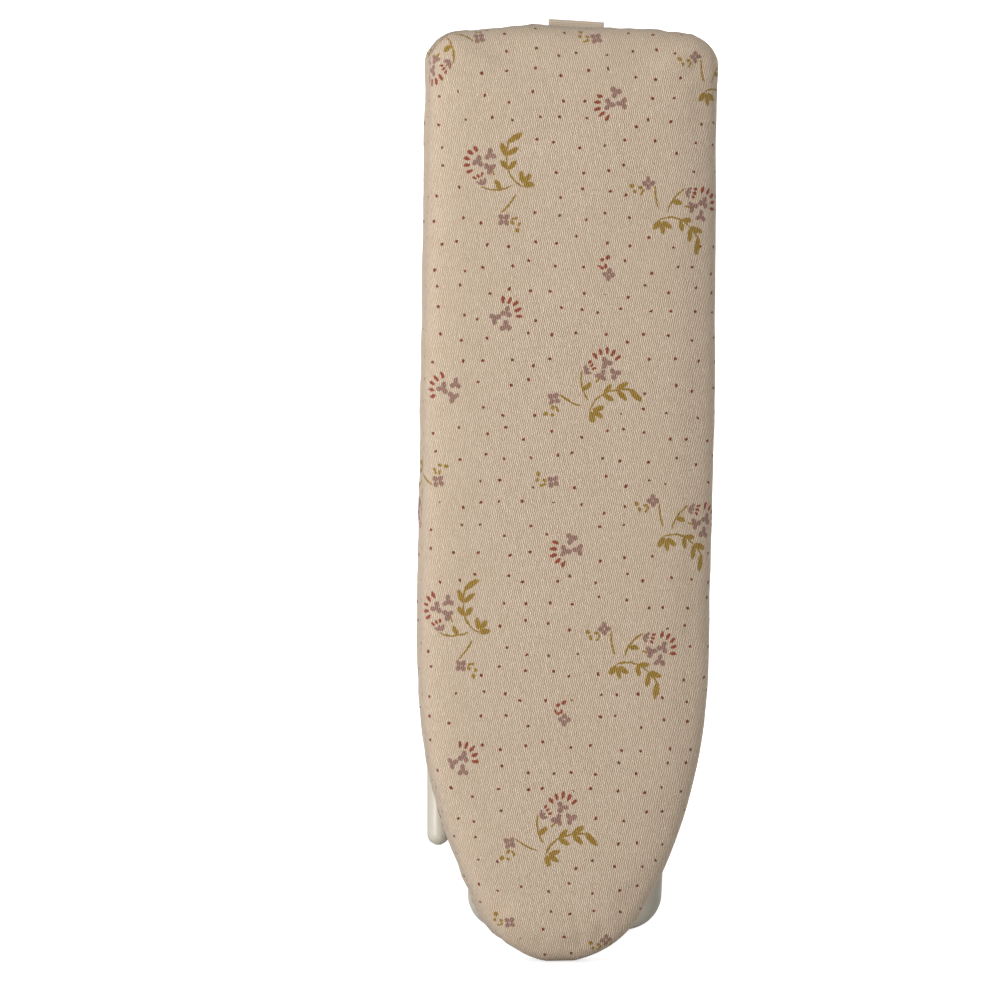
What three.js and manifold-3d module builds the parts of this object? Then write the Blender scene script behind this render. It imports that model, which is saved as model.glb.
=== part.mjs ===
// A small folding ironing board, standing on its rounded nose with the legs a little open,
// so that it leans on one foot bar like an easel.
// Millimetres. +Z runs up the board from the nose, -Y is the side that is ironed on,
// +Y is the underside with the legs, and +X is to the right when facing the ironed side.
import * as THREE from 'three';
import { mergeVertices } from 'three/addons/utils/BufferGeometryUtils.js';
import Module from 'manifold-3d';

const wasm = await Module();
wasm.setup();

// ---- Driving dimensions ----

const gap = 0.3; // kept between pieces that touch

// The outline of the covered board, seen from the front.
const board = {
  length: 169,
  halfWidth: 26.4,
  taperLength: 55.8, // from the nose to where the sides become straight
  sideRadius: 98.8, // of the curve from the straight side to the nose
  endRadius: 230, // of the faintly bowed square end
  cornerRadius: 6,
  noseFlat: 2.5, // half the width of the flat that the nose stands on
};
const nose = noseCircle();

// Depths are counted from the panel's underside, positive towards the legs.
const panel = { front: -4, back: 0, inset: 1.6, edge: 1.4 };
const foam = { front: -8.5, back: panel.front - gap, inset: 1.3, edge: 1.8 };
const cover = { front: -9.4, back: 0.9, edge: 3, cloth: 0.6, hemWidth: 6.2 };
const elastic = { radius: 0.7, inset: cover.hemWidth + gap + 0.7 };
const tag = { width: 10, height: 7.6, top: 170.9, cloth: 0.35 };

// The legs are two equal U-shaped frames of round rod that cross like scissors.
const rod = { radius: 2, bendRadius: 5, endRounding: 1.4 };
const foldAngle = THREE.MathUtils.degToRad(4); // each frame to the board when folded flat
const restAngle = THREE.MathUtils.degToRad(13); // each frame to the board as it stands
const openAngle = THREE.MathUtils.degToRad(45); // each frame to the board in use
const leg = {
  halfWidth: 16.4, // from the frame's centre to a rod's centre line
  toHinge: 60, // crossing pivot to hinge pin or slide rod
  pastHinge: 4, // rod beyond the hinge pin or slide rod
};
const sideStep = 10.2; // between the two frames' centres, which lets their rods pass

const pin = { radius: 0.9, hole: 1.25, sunk: 0.9 }; // sunk past a rod's centre line
const hinge = { z: 24, depth: 6 };
// Crossing pivot to the middle of the foot bar, which stands as low as the nose.
leg.toFoot = leg.toHinge + (hinge.z - nose.lowest - rod.radius) / Math.cos(restAngle);
const rivet = { headRadius: 1.9, headHeight: 0.8 };
const spacerRadius = 2.2; // of the sleeves that keep the two frames apart
const sheet = 1; // thickness of the steel of brackets and rails
const flangeWidth = 6;
const bracket = { x: 7, length: 12, earRadius: 2.4, earFoot: 4.5, screwSpacing: 7.4 };
const rail = { x: 8, height: 8.8, margin: 3.2, screwSpacing: 34 };
const screw = {
  headRadius: 1.5,
  headHeight: 0.9,
  radius: 0.7,
  length: 4.2,
  point: 1.2,
  pilot: 1, // radius of the holes it passes through
  crossLength: 1.7,
  crossWidth: 0.4,
  crossDepth: 0.45,
};
const roundSides = 16; // facets round a rod, pin or rivet
const smallSides = 10; // facets round a screw hole

// ---- Materials ----

const paint = (color, roughness, metalness = 0) =>
  new THREE.MeshStandardMaterial({ color, roughness, metalness });
const printedCotton = paint(0xc3ab96, 0.95);
const foamWhite = paint(0xe6e0d2, 0.95);
const ribbonCream = paint(0xd9cdb8, 0.9);
const elasticCream = paint(0xcbb9a4, 0.9);
const panelWood = paint(0xb99b76, 0.75);
const legPaint = paint(0xccc8ba, 0.45);
const zincSteel = paint(0xa9a8a4, 0.35, 1);

// ---- Solids ----

function solid(geometry) {
  const bare = geometry.clone();
  bare.deleteAttribute('normal');
  bare.deleteAttribute('uv');
  const merged = mergeVertices(bare, 1e-4);
  return new wasm.Manifold(new wasm.Mesh({
    numProp: 3,
    vertProperties: new Float32Array(merged.attributes.position.array),
    triVerts: new Uint32Array(merged.index.array),
  }));
}

function toGeometry(shape) {
  const mesh = shape.getMesh();
  const geometry = new THREE.BufferGeometry();
  geometry.setAttribute('position', new THREE.BufferAttribute(mesh.vertProperties, 3));
  geometry.setIndex(new THREE.BufferAttribute(mesh.triVerts, 1));
  geometry.computeVertexNormals();
  return geometry;
}

function cut(geometry, ...tools) {
  return toGeometry(tools.reduce((body, tool) => body.subtract(solid(tool)), solid(geometry)));
}

function join(...geometries) {
  return toGeometry(geometries.map(solid).reduce((body, piece) => body.add(piece)));
}

function cylinderAlongX(radius, from, to, y = 0, z = 0) {
  const geometry = new THREE.CylinderGeometry(radius, radius, to - from, roundSides);
  return geometry.rotateZ(Math.PI / 2).translate((from + to) / 2, y, z);
}

function boxBetween(low, high) {
  const size = high.map((value, i) => value - low[i]);
  return new THREE.BoxGeometry(...size).translate(...low.map((value, i) => value + size[i] / 2));
}

// ---- The board's outline ----

// The nose's circle, the angle at which it meets the side curves, and the height of its flat.
function noseCircle() {
  const { halfWidth, taperLength, sideRadius, noseFlat } = board;
  const sideX = halfWidth - sideRadius;
  const radius = (sideRadius ** 2 - sideX ** 2 - taperLength ** 2)
    / (2 * (sideRadius - taperLength));
  const sideStart = Math.atan2(radius - taperLength, -sideX);
  return { radius, sideStart, lowest: radius - Math.sqrt(radius ** 2 - noseFlat ** 2) };
}

// The outline moved inwards by inset, as points in X and Z, anticlockwise from the nose.
function boardOutline(inset) {
  const { length, halfWidth, taperLength, sideRadius, endRadius } = board;
  const sideX = halfWidth - sideRadius;
  const noseRadius = nose.radius - inset;
  const flatEnd = -Math.asin((noseRadius - nose.lowest) / noseRadius);
  const corner = Math.max(board.cornerRadius - inset, 1.5);
  const cornerX = halfWidth - inset - corner;
  const endZ = length - endRadius;
  const cornerZ = endZ + Math.sqrt((endRadius - inset - corner) ** 2 - cornerX ** 2);
  const endAngle = Math.atan2(cornerZ - endZ, cornerX);
  const arc = (x, z, radius, from, to, count) => {
    const curve = new THREE.EllipseCurve(x, z, radius, radius, from, to, false);
    return curve.getPoints(count);
  };
  const right = [
    ...arc(0, nose.radius, noseRadius, flatEnd, nose.sideStart, 6),
    ...arc(sideX, taperLength, sideRadius - inset, nose.sideStart, 0, 6).slice(1),
    ...arc(cornerX, cornerZ, corner, 0, endAngle, 5),
    ...arc(0, endZ, endRadius - inset, endAngle, Math.PI / 2, 2).slice(1),
  ];
  const left = right.slice(0, -1).reverse().map((p) => new THREE.Vector2(-p.x, p.y));
  return [...right, ...left];
}

// A slab of the board's outline between two depths, with rounded edges.
function boardSlab(inset, front, back, edge) {
  const shape = new THREE.Shape(boardOutline(inset + edge));
  const geometry = new THREE.ExtrudeGeometry(shape, {
    depth: back - front - 2 * edge,
    bevelEnabled: edge > 0,
    bevelSize: edge,
    bevelThickness: edge,
    bevelSegments: 3,
  });
  return geometry.rotateX(Math.PI / 2).translate(0, back - edge, 0);
}

// ---- Board, padding and cover ----

function screwPlaces() {
  const places = [];
  for (const side of [-1, 1]) {
    const level = (x, middle, spacing) => [-1, 1].map((end) => (
      { x: side * (x - flangeWidth / 2), z: middle + end * spacing / 2 }));
    const name = side < 0 ? 'left' : 'right';
    const [low, high] = level(bracket.x, hinge.z, bracket.screwSpacing);
    places.push({ name: `bracket_screw_${name}_lower`, ...low });
    places.push({ name: `bracket_screw_${name}_upper`, ...high });
    const [near, far] = level(rail.x, railMiddle(), rail.screwSpacing);
    places.push({ name: `rail_screw_${name}_lower`, ...near });
    places.push({ name: `rail_screw_${name}_upper`, ...far });
  }
  return places;
}

// A hole about a screw's axis, reaching as far as depth on both sides of y.
function screwHole(x, y, z, depth) {
  const geometry = new THREE.CylinderGeometry(screw.pilot, screw.pilot, 2 * depth, smallSides);
  return geometry.translate(x, y, z);
}

function boardPanel() {
  const slab = boardSlab(panel.inset, panel.front, panel.back, panel.edge);
  const depth = screw.length - sheet;
  const holes = screwPlaces().map(({ x, z }) => screwHole(x, 0, z, depth));
  return cut(slab, ...holes);
}

function coverShell() {
  const { front, back, edge, cloth, hemWidth } = cover;
  const outside = boardSlab(0, front, back, edge);
  const inside = boardSlab(cloth, front + cloth, back - cloth, edge - cloth);
  const opening = boardSlab(hemWidth, panel.front, back + 1, 0);
  return cut(outside, inside, opening);
}

function hemElastic() {
  const points = boardOutline(elastic.inset).map((p) => new THREE.Vector3(p.x, 0, p.y));
  const tangentAt = (i) => {
    const next = points[(i + 1) % points.length];
    const last = points[(i + points.length - 1) % points.length];
    return next.clone().sub(last).normalize();
  };
  const positions = [];
  const index = [];
  const sides = 6;
  const out = new THREE.Vector3(0, 1, 0);
  points.forEach((point, i) => {
    const across = new THREE.Vector3().crossVectors(tangentAt(i), out);
    for (let k = 0; k < sides; k += 1) {
      const angle = (2 * Math.PI * k) / sides;
      const place = point.clone()
        .addScaledVector(across, elastic.radius * Math.cos(angle))
        .addScaledVector(out, elastic.radius * Math.sin(angle));
      positions.push(...place.toArray());
      const a = i * sides + k;
      const b = i * sides + ((k + 1) % sides);
      const c = ((i + 1) % points.length) * sides + k;
      const d = ((i + 1) % points.length) * sides + ((k + 1) % sides);
      index.push(a, c, b, b, c, d);
    }
  });
  const geometry = new THREE.BufferGeometry();
  geometry.setAttribute('position', new THREE.Float32BufferAttribute(positions, 3));
  geometry.setIndex(index);
  geometry.computeVertexNormals();
  return geometry.translate(0, panel.back + gap + elastic.radius, 0);
}

// A ribbon folded over on itself, its fold upwards.
function ribbonTag() {
  const inner = tag.cloth / 2;
  const outer = inner + tag.cloth;
  const profile = new THREE.Shape();
  profile.moveTo(outer, 0);
  profile.lineTo(outer, tag.height - outer);
  profile.absarc(0, tag.height - outer, outer, 0, Math.PI, false);
  profile.lineTo(-outer, 0);
  profile.lineTo(-inner, 0);
  profile.lineTo(-inner, tag.height - outer);
  profile.absarc(0, tag.height - outer, inner, Math.PI, 0, true);
  profile.lineTo(inner, 0);
  const options = { depth: tag.width, bevelEnabled: false, curveSegments: 3 };
  const geometry = new THREE.ExtrudeGeometry(profile, options);
  geometry.rotateX(Math.PI / 2).rotateZ(Math.PI / 2);
  return geometry.translate(-tag.width / 2, cover.back + gap + outer, tag.top - tag.height);
}

// ---- Legs ----

// A path that an extrusion visits at given places only, so that straight runs take one step.
class StationPath extends THREE.Curve {
  constructor(stations) {
    super();
    this.stations = stations;
  }

  station(u) {
    return this.stations[Math.round(u * (this.stations.length - 1))];
  }

  getPointAt(u) {
    return this.station(u).point.clone();
  }

  getTangentAt(u) {
    return this.station(u).tangent.clone();
  }
}

// Half of the frame's centre line, from the open end up and round to the foot bar.
function legSide(side) {
  const { halfWidth, toHinge, toFoot, pastHinge } = leg;
  const endZ = -(toHinge + pastHinge);
  const stations = [0, 0.25, 0.6, 1].map((part) => ({
    point: new THREE.Vector3(side * halfWidth, 0, endZ + part * rod.endRounding),
    tangent: new THREE.Vector3(0, 0, 1),
  }));
  const bendSteps = 6;
  for (let i = 0; i <= bendSteps; i += 1) {
    const angle = (i / bendSteps) * (Math.PI / 2);
    const x = halfWidth - rod.bendRadius * (1 - Math.cos(angle));
    const z = toFoot - rod.bendRadius * (1 - Math.sin(angle));
    stations.push({
      point: new THREE.Vector3(side * x, 0, z),
      tangent: new THREE.Vector3(-side * Math.sin(angle), 0, Math.cos(angle)),
    });
  }
  return stations;
}

// The frame lies in X and Z about its crossing pivot, with its open ends downwards.
function legFrame() {
  const back = legSide(1).reverse().map(({ point, tangent }) => (
    { point, tangent: tangent.negate() }));
  const stations = [...legSide(-1), ...back];
  const section = new THREE.Shape(
    new THREE.EllipseCurve(0, 0, rod.radius, rod.radius).getPoints(roundSides).slice(0, -1));
  const geometry = new THREE.ExtrudeGeometry(section, {
    steps: stations.length - 1,
    extrudePath: new StationPath(stations),
    bevelEnabled: false,
  });
  const endZ = -(leg.toHinge + leg.pastHinge);
  roundRodEnds(geometry, endZ);
  const reach = leg.halfWidth + rod.radius + 1;
  const rivetHole = cylinderAlongX(pin.hole, -reach, reach);
  const sunkTo = leg.halfWidth + pin.sunk;
  const pinHole = cylinderAlongX(pin.hole, -sunkTo, sunkTo, 0, -leg.toHinge);
  return cut(geometry, rivetHole, pinHole);
}

// Draws the rod in towards its centre line over the last stretch, as a blunt dome.
function roundRodEnds(geometry, endZ) {
  const tipShare = 0.55; // of the rod's radius, left as a flat at the tip
  const position = geometry.attributes.position;
  for (let i = 0; i < position.count; i += 1) {
    const rise = (position.getZ(i) - endZ) / rod.endRounding;
    if (rise < 1) {
      const share = tipShare + (1 - tipShare) * Math.sqrt(1 - (1 - rise) ** 2);
      const centre = Math.sign(position.getX(i)) * leg.halfWidth;
      position.setX(i, centre + (position.getX(i) - centre) * share);
      position.setY(i, position.getY(i) * share);
    }
  }
}

function crossPin() {
  const reach = leg.halfWidth + pin.sunk - gap;
  return cylinderAlongX(pin.radius, -reach, reach);
}

function pivotRivet() {
  const grip = (sideStep + 2 * rod.radius) / 2 + gap;
  const domeAt = (end) => {
    const curve = new THREE.EllipseCurve(
      0, end * grip, rivet.headRadius, rivet.headHeight, end * Math.PI / 2, 0, end > 0);
    return curve.getPoints(3).map((p, i) => new THREE.Vector2(i === 0 ? 0 : p.x, p.y));
  };
  const profile = [
    ...domeAt(-1),
    new THREE.Vector2(pin.radius, -grip),
    new THREE.Vector2(pin.radius, grip),
    ...domeAt(1).reverse(),
  ];
  return new THREE.LatheGeometry(profile, roundSides).rotateZ(Math.PI / 2);
}

function pivotSpacer() {
  const half = (sideStep - 2 * rod.radius) / 2 - gap;
  const corners = [[pin.hole, -half], [spacerRadius, -half], [spacerRadius, half], [pin.hole, half]];
  const profile = [...corners, corners[0]].map(([x, y]) => new THREE.Vector2(x, y));
  return new THREE.LatheGeometry(profile, roundSides).rotateZ(Math.PI / 2);
}

// ---- Brackets, rails and screws ----

function slideRange() {
  const reach = (angle) => hinge.z + 2 * leg.toHinge * Math.cos(angle);
  return { open: reach(openAngle), folded: reach(foldAngle) };
}

function railMiddle() {
  const { open, folded } = slideRange();
  return (open + folded) / 2;
}

// Extrudes a profile drawn in Z and depth across the sheet's thickness, about X = 0.
function sidePlate(profile) {
  const options = { depth: sheet, bevelEnabled: false, curveSegments: 6 };
  const geometry = new THREE.ExtrudeGeometry(profile, options);
  // The profile's first axis becomes Z and its second the depth.
  const axes = new THREE.Matrix4().makeBasis(
    new THREE.Vector3(0, 0, 1), new THREE.Vector3(0, 1, 0), new THREE.Vector3(-1, 0, 0));
  return geometry.applyMatrix4(axes).translate(sheet / 2, 0, 0);
}

// The screwed-down flange reaches from the plate towards the board's middle.
function flange(side, length, middle) {
  const inner = -side * (flangeWidth - sheet / 2);
  const outer = side * sheet / 2;
  const low = [Math.min(inner, outer), gap, middle - length / 2];
  const high = [Math.max(inner, outer), gap + sheet, middle + length / 2];
  return boxBetween(low, high);
}

function screwHoles(side, middle, spacing) {
  const x = -side * flangeWidth / 2;
  return [-1, 1].map((end) => screwHole(x, gap, middle + end * spacing / 2, 2 * sheet));
}

function hingeBracket(side) {
  const { length, earRadius, earFoot, screwSpacing } = bracket;
  const ear = new THREE.Shape();
  ear.moveTo(hinge.z - earFoot, gap);
  ear.lineTo(hinge.z + earFoot, gap);
  ear.lineTo(hinge.z + earRadius, hinge.depth);
  ear.absarc(hinge.z, hinge.depth, earRadius, 0, Math.PI, false);
  ear.closePath();
  ear.holes.push(new THREE.Path().absarc(hinge.z, hinge.depth, pin.hole, 0, 2 * Math.PI, true));
  const body = join(sidePlate(ear), flange(side, length, hinge.z));
  return cut(body, ...screwHoles(side, hinge.z, screwSpacing));
}

function slideRail(side) {
  const { open, folded } = slideRange();
  const low = open - pin.hole - rail.margin;
  const high = folded + pin.hole + rail.margin;
  const web = new THREE.Shape();
  web.moveTo(low, gap);
  web.lineTo(high, gap);
  web.lineTo(high, rail.height - rail.margin / 2);
  web.lineTo(high - rail.margin / 2, rail.height);
  web.lineTo(low + rail.margin / 2, rail.height);
  web.lineTo(low, rail.height - rail.margin / 2);
  const slot = new THREE.Path();
  slot.absarc(open, hinge.depth, pin.hole, -Math.PI / 2, Math.PI / 2, true);
  slot.absarc(folded, hinge.depth, pin.hole, Math.PI / 2, -Math.PI / 2, true);
  web.holes.push(slot);
  const body = join(sidePlate(web), flange(side, high - low, railMiddle()));
  return cut(body, ...screwHoles(side, railMiddle(), rail.screwSpacing));
}

// A cross-head screw, its head outwards and its point in the panel.
function panHeadScrew() {
  const { headRadius, headHeight, radius, length, crossLength, crossWidth, crossDepth } = screw;
  const dome = new THREE.EllipseCurve(0, 0, headRadius, headHeight, 0, Math.PI / 2, false);
  const profile = [
    new THREE.Vector2(0, -length),
    new THREE.Vector2(radius, -length + screw.point),
    new THREE.Vector2(radius, 0),
    ...dome.getPoints(3).map((p, i) => (i === 3 ? new THREE.Vector2(0, headHeight) : p)),
  ];
  const body = new THREE.LatheGeometry(profile, 12);
  const bars = [[crossLength, crossWidth], [crossWidth, crossLength]].map(([x, z]) => (
    new THREE.BoxGeometry(x, 2 * crossDepth, z).translate(0, headHeight, 0)));
  return cut(body, ...bars);
}

// ---- Assembly ----

function piece(name, geometry, material, x = 0, y = 0, z = 0) {
  const mesh = new THREE.Mesh(geometry, material.clone());
  mesh.name = name;
  mesh.position.set(x, y, z);
  return mesh;
}

function boardGroup() {
  const group = new THREE.Group();
  group.add(piece('board_panel', boardPanel(), panelWood));
  group.add(piece('foam_pad', boardSlab(foam.inset, foam.front, foam.back, foam.edge), foamWhite));
  group.add(piece('cover', coverShell(), printedCotton));
  group.add(piece('hem_elastic', hemElastic(), elasticCream));
  group.add(piece('ribbon_tag', ribbonTag(), ribbonCream));
  for (const side of [-1, 1]) {
    const name = side < 0 ? 'left' : 'right';
    group.add(piece(`hinge_bracket_${name}`, hingeBracket(side), zincSteel, side * bracket.x));
    group.add(piece(`slide_rail_${name}`, slideRail(side), zincSteel, side * rail.x));
  }
  for (const { name, x, z } of screwPlaces()) {
    group.add(piece(name, panHeadScrew(), zincSteel, x, sheet + 2 * gap, z));
  }
  return group;
}

// Leg frames turn about the crossing pivot's axis; pins and rivets lie along X.
function legGroup() {
  const group = new THREE.Group();
  group.position.y = hinge.depth + leg.toHinge * Math.sin(restAngle);
  group.position.z = hinge.z + leg.toHinge * Math.cos(restAngle);

  const hinged = new THREE.Group();
  hinged.rotation.x = -restAngle;
  const hingedX = -sideStep / 2;
  hinged.add(piece('hinged_leg', legFrame(), legPaint, hingedX));
  hinged.add(piece('hinge_pin', crossPin(), zincSteel, hingedX, 0, -leg.toHinge));
  group.add(hinged);

  const sliding = new THREE.Group();
  sliding.rotation.x = Math.PI + restAngle;
  const slidingX = sideStep / 2;
  sliding.add(piece('sliding_leg', legFrame(), legPaint, slidingX));
  sliding.add(piece('slide_rod', crossPin(), zincSteel, slidingX, 0, -leg.toHinge));
  group.add(sliding);

  for (const side of [-1, 1]) {
    const name = side < 0 ? 'left' : 'right';
    const x = side * leg.halfWidth;
    group.add(piece(`pivot_rivet_${name}`, pivotRivet(), zincSteel, x));
    group.add(piece(`pivot_spacer_${name}`, pivotSpacer(), zincSteel, x));
  }
  return group;
}

const ironingBoard = new THREE.Group();
ironingBoard.add(boardGroup(), legGroup());

// The origin is under the nose, in the middle of the whole depth from the cover to the feet.
const feet = hinge.depth + (leg.toHinge + leg.toFoot) * Math.sin(restAngle) + rod.radius;
ironingBoard.position.set(0, -(cover.front + feet) / 2, -nose.lowest);

export default ironingBoard;
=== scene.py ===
"""The looks of a small folding ironing board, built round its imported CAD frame.

Lengths are in millimetres until a mesh is made, and in metres from then on.
"""
import math
from contextlib import contextmanager

import bmesh
import bpy
import numpy as np
from mathutils import Matrix, Vector, noise


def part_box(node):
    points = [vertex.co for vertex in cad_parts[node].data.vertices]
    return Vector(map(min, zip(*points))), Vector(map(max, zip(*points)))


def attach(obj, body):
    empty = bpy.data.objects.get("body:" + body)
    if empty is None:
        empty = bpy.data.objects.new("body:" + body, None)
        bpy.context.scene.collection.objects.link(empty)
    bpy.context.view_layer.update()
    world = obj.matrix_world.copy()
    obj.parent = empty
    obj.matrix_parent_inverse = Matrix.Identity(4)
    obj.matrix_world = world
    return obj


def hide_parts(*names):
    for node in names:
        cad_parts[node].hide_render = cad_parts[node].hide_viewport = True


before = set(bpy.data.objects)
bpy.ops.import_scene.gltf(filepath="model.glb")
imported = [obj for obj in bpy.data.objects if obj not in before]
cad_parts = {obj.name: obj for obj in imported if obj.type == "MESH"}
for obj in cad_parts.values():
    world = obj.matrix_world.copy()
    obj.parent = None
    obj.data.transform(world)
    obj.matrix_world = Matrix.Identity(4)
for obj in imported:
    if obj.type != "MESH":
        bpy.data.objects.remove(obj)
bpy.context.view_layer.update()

MM = 0.001


def centre(node):
    """The middle of a CAD node's box, in millimetres."""
    low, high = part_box(node)
    return (low + high) / 2 / MM


def span(node, axis):
    """A CAD node's lowest and highest value on one axis, in millimetres."""
    low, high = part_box(node)
    return low[axis] / MM, high[axis] / MM


# ---- Dimensions ----

# The outline of the covered board, seen from the front.
LENGTH = 169.0
HALF_WIDTH = 26.4
TAPER_LENGTH = 55.8
SIDE_RADIUS = 98.8
END_RADIUS = 230.0
CORNER_RADIUS = 6.0
NOSE_FLAT = 2.5
SIDE_X = HALF_WIDTH - SIDE_RADIUS
NOSE_RADIUS = (SIDE_RADIUS**2 - SIDE_X**2 - TAPER_LENGTH**2) / (2 * (SIDE_RADIUS - TAPER_LENGTH))
NOSE_LOWEST = NOSE_RADIUS - math.sqrt(NOSE_RADIUS**2 - NOSE_FLAT**2)
SIDE_START = math.atan2(NOSE_RADIUS - TAPER_LENGTH, -SIDE_X)

COVER_FRONT, COVER_BACK = span("cover", 1)
FOAM_FRONT, FOAM_BACK = span("foam_pad", 1)
FRONT_EDGE = 3.2  # radius of the cover's front edge
BACK_EDGE = 2.8
CROWN = 1.1  # how far the padding bulges in the middle
CLOTH = 0.4  # thickness of the cotton
HEM_INSET = 6.3
ELASTIC_INSET = 6.9
RIBBON_WIDTH = 10.0
RIBBON_SHIFT = 1.1  # it is sewn in slightly to the right
SPINE = (19.0, 146.0)  # lowest and highest point of the line that the front's rings close on

ROD = 2.0  # radius of the leg rod
LEG_HALF = 16.4
BEND_RADIUS = 5.0
TO_HINGE = 60.0
PAST_HINGE = 4.0
crossing = centre("pivot_rivet_left")
hinge = centre("hinge_pin")
REST_ANGLE = math.atan2(crossing.y - hinge.y, crossing.z - hinge.z)
TO_FOOT = TO_HINGE + (hinge.z - ROD) / math.cos(REST_ANGLE)


# ---- Meshes ----

def quarter_turn(steps):
    """Angles from 0 to a right angle, in equal steps."""
    return [math.pi / 2 * i / steps for i in range(steps + 1)]


def outline(inset):
    """Points and outward normals, in X and Z, of the board's edge moved in by inset."""
    least_corner = 1.5
    radius = NOSE_RADIUS - inset
    flat_end = -math.asin((radius - NOSE_LOWEST) / radius)
    corner = max(CORNER_RADIUS - inset, least_corner)
    corner_x = HALF_WIDTH - inset - corner
    end_z = LENGTH - END_RADIUS
    corner_z = end_z + math.sqrt((END_RADIUS - inset - corner) ** 2 - corner_x**2)
    end_angle = math.atan2(corner_z - end_z, corner_x)
    points = [((0.0, NOSE_LOWEST + inset), (0.0, -1.0))]

    def arc(x, z, size, start, end, steps):
        for i in range(steps + 1):
            angle = start + (end - start) * i / steps
            normal = (math.cos(angle), math.sin(angle))
            points.append(((x + size * normal[0], z + size * normal[1]), normal))

    arc(0, NOSE_RADIUS, radius, flat_end, SIDE_START, 14)
    points.pop()
    arc(SIDE_X, TAPER_LENGTH, SIDE_RADIUS - inset, SIDE_START, 0, 20)
    straight = 46
    for i in range(1, straight):
        z = TAPER_LENGTH + (corner_z - TAPER_LENGTH) * i / straight
        points.append(((HALF_WIDTH - inset, z), (1.0, 0.0)))
    arc(corner_x, corner_z, corner, 0, end_angle, 9)
    points.pop()
    arc(0, end_z, END_RADIUS - inset, end_angle, math.pi / 2, 12)
    mirrored = [((-x, z), (-a, b)) for (x, z), (a, b) in reversed(points[1:-1])]
    places, normals = zip(*(points + mirrored))
    return np.array(places) - (0, NOSE_LOWEST), np.array(normals)


def linked(name, data):
    """An object in the scene that shows data."""
    made = bpy.data.objects.new(name, data)
    bpy.context.scene.collection.objects.link(made)
    return made


def new_object(name, vertices, faces):
    """A smooth mesh object from points in millimetres."""
    mesh = bpy.data.meshes.new(name)
    mesh.from_pydata([tuple(np.array(v) * MM) for v in vertices], [], faces)
    mesh.shade_smooth()
    return linked(name, mesh)


def mark_cloth(piece, flat):
    """Keeps where each point lies on the flat cloth, in millimetres."""
    attribute = piece.data.attributes.new("cloth", "FLOAT_VECTOR", "POINT")
    attribute.data.foreach_set("vector", np.column_stack([flat, np.zeros(len(flat))]).ravel())


@contextmanager
def editing(piece):
    """A piece's mesh, opened for an edit and written back after it."""
    mesh = bmesh.new()
    mesh.from_mesh(piece.data)
    yield mesh
    mesh.to_mesh(piece.data)
    mesh.free()


def tidy_mesh(piece):
    """Merges doubled points and turns all faces outwards."""
    doubled, flat = 0.02, 0.005
    with editing(piece) as mesh:
        bmesh.ops.remove_doubles(mesh, verts=mesh.verts, dist=doubled * MM)
        bmesh.ops.dissolve_degenerate(mesh, edges=mesh.edges, dist=flat * MM)
        bmesh.ops.recalc_face_normals(mesh, faces=mesh.faces)
    return piece


def apply_modifiers(piece):
    """Keeps what the modifiers make and drops the modifiers."""
    depsgraph = bpy.context.evaluated_depsgraph_get()
    made = bpy.data.meshes.new_from_object(piece.evaluated_get(depsgraph))
    piece.modifiers.clear()
    old = piece.data
    piece.data = made
    made.name = piece.name
    bpy.data.meshes.remove(old)


def thicken(piece, thickness, side):
    """Makes a sheet solid: inwards for a side of -1, both ways for 0."""
    thick = piece.modifiers.new("thick", "SOLIDIFY")
    thick.thickness = thickness * MM
    thick.offset = side
    apply_modifiers(piece)


def ring_faces(count, first, second):
    """Quads between two closed rings of count points."""
    return [
        (first + i, first + (i + 1) % count, second + (i + 1) % count, second + i)
        for i in range(count)
    ]


def tube(name, path, radii, side, sides, closed=False):
    """A tube through path, one radius a point; side is a direction square to the whole path."""
    path = [Vector(p) for p in path]
    count = len(path)
    vertices, faces = [], []
    for i, point in enumerate(path):
        if closed:
            along = path[(i + 1) % count] - path[i - 1]
        else:
            along = path[min(i + 1, count - 1)] - path[max(i - 1, 0)]
        across = along.normalized().cross(side)
        for k in range(sides):
            angle = 2 * math.pi * k / sides
            size = radii[i](angle) if callable(radii[i]) else radii[i]
            vertices.append(point + size * (math.cos(angle) * across + math.sin(angle) * side))
    for i in range(count if closed else count - 1):
        faces += ring_faces(sides, i * sides, (i + 1) % count * sides)
    if not closed:
        faces.append(tuple(range(sides)))
        faces.append(tuple((count - 1) * sides + k for k in range(sides)))
    return tidy_mesh(new_object(name, vertices, faces))


def lathe(name, profile, sides=40):
    """Turns (distance from the axis, height) points about Y."""
    vertices, faces = [], []
    for radius, height in profile:
        for k in range(sides):
            angle = 2 * math.pi * k / sides
            vertices.append((radius * math.cos(angle), height, radius * math.sin(angle)))
    for i in range(len(profile) - 1):
        faces += ring_faces(sides, i * sides, (i + 1) * sides)
    return tidy_mesh(new_object(name, vertices, faces))


def place(piece, where, turn):
    """Turns a piece's mesh and then moves it to where, in millimetres."""
    piece.data.transform(Matrix.Translation(Vector(where) * MM) @ turn)
    return piece


def smooth_by_angle(piece, degrees):
    piece.data.shade_smooth()
    piece.data.set_sharp_from_angle(angle=math.radians(degrees))
    return piece


# ---- Padding and cover ----

def lerp(a, b, share):
    return a + (b - a) * share


def front_rings(rim, front, crown, steps):
    """Rings from the spine out to the rim of the flat face, with the crown between."""
    low, high = SPINE
    crowding = 0.9  # below 1, the rings crowd towards the rim
    spine = np.column_stack([np.zeros(len(rim)), np.clip(rim[:, 1], low, high)])
    rings = []
    for i in range(steps):
        share = (i / steps) ** crowding
        flat = lerp(spine, rim, share)
        depth = front - crown * (1 - share**2)
        rings.append(np.column_stack([flat[:, 0], np.full(len(rim), depth), flat[:, 1]]))
    return rings


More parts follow.
